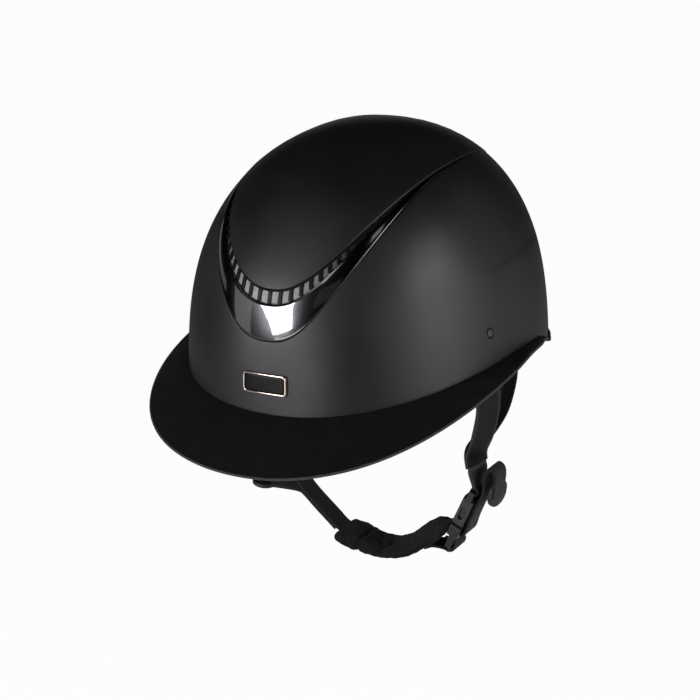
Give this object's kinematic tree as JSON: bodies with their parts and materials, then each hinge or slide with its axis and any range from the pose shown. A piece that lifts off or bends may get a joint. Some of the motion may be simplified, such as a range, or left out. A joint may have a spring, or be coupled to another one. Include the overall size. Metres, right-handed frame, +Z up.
{
  "type": "riding helmet",
  "caption": "Riding helmet with a wide brim, framed crescent front vent, crown panel, padded liner, rear dial fit and a buckled leather harness with a soft chin pad.",
  "frame": {"origin": "middle of the head opening, level with the wearer's headband line", "axes": "+X to the wearer's left, -Y out of the front, +Z up through the crown"},
  "size_m": [0.2458, 0.3111, 0.3142],
  "materials": {
    "shell_matte": "soft-touch matte black",
    "panel_matte": "soft-touch matte black",
    "trim_gloss": "black chrome",
    "mesh_grey": "fine grey mesh",
    "rib_gloss": "semi-gloss black",
    "badge_metal": "polished warm metal",
    "badge_dark": "bare dark plate",
    "brim_cloth": "brushed black cloth",
    "binding": "edge piping",
    "edge_rubber": "soft black strip",
    "liner_foam": "moulded foam",
    "pad_cloth": "quilted lining",
    "cradle_plastic": "satin",
    "fit_plastic": "satin",
    "hardware_steel": "plain",
    "hardware_black": "black lacquer",
    "leather_black": "smooth",
    "buckle_plastic": "semi-gloss",
    "webbing": "woven",
    "tab_rubber": "moulded",
    "chin_fleece": "soft knit"
  },
  "bodies": {
    "helmet": {"outer_shell": "shell_matte", "crown_panel": "panel_matte", "front_trim": "trim_gloss", "vent_mesh": "mesh_grey", "vent_ribs": "rib_gloss", "badge_frame": "badge_metal", "badge_plate": "badge_dark", "brim": "brim_cloth", "brim_binding": "binding", "rear_edge_trim": "edge_rubber", "impact_liner": "liner_foam", "forehead_pad": "pad_cloth", "crown_pad": "pad_cloth", "nape_cradle": "cradle_plastic", "nape_pad": "pad_cloth", "dial_housing": "fit_plastic", "housing_screws": "hardware_steel", "side_rivets": "hardware_black", "rivet_washers": "hardware_steel", "anchor_studs": "hardware_black", "near_front_leg": "leather_black", "near_rear_leg": "leather_black", "far_front_leg": "leather_black", "far_rear_leg": "leather_black"},
    "dial": {"fit_dial": "fit_plastic"},
    "left_rack": {"rack_left": "cradle_plastic"},
    "right_rack": {"rack_right": "cradle_plastic"},
    "chin_strap": {"near_neck": "leather_black", "far_neck": "leather_black", "buckle_socket": "buckle_plastic", "chin_pad": "chin_fleece", "far_slider": "buckle_plastic", "far_webbing": "webbing", "far_tail": "webbing", "far_end_tab": "tab_rubber", "near_tail": "webbing", "near_end_tab": "tab_rubber"},
    "plug": {"buckle_plug": "buckle_plastic", "near_webbing": "webbing"}
  },
  "joints": [
    {"name": "dial_turn", "type": "hinge", "parent": "helmet", "child": "dial", "pos_m": [0, 0.11, -0.066], "axis": [0, 1, 0], "range_deg": [-95, 95]},
    {"name": "rack_left_slide", "type": "hinge", "parent": "helmet", "child": "left_rack", "pos_m": [0, 0.018, -0.066], "axis": [0, 0, 1], "range_deg": [-7, 7]},
    {"name": "rack_right_slide", "type": "hinge", "parent": "helmet", "child": "right_rack", "pos_m": [0, 0.018, -0.066], "axis": [0, 0, 1], "range_deg": [-7, 7]},
    {"name": "chin_swing", "type": "hinge", "parent": "helmet", "child": "chin_strap", "pos_m": [0, 0.018, -0.104], "axis": [1, 0, 0], "range_deg": [-25, 25], "deforming": ["near_neck", "far_neck"]},
    {"name": "buckle_release", "type": "slide", "parent": "chin_strap", "child": "plug", "axis": [-0.4226, 0, -0.9063], "range_m": [0, 0.022], "deforming": ["near_webbing", "near_tail"]}
  ],
  "couplings": [
    {"joint": "rack_left_slide", "follows": "dial_turn", "ratio": -0.07067},
    {"joint": "rack_right_slide", "follows": "dial_turn", "ratio": 0.07067}
  ]
}
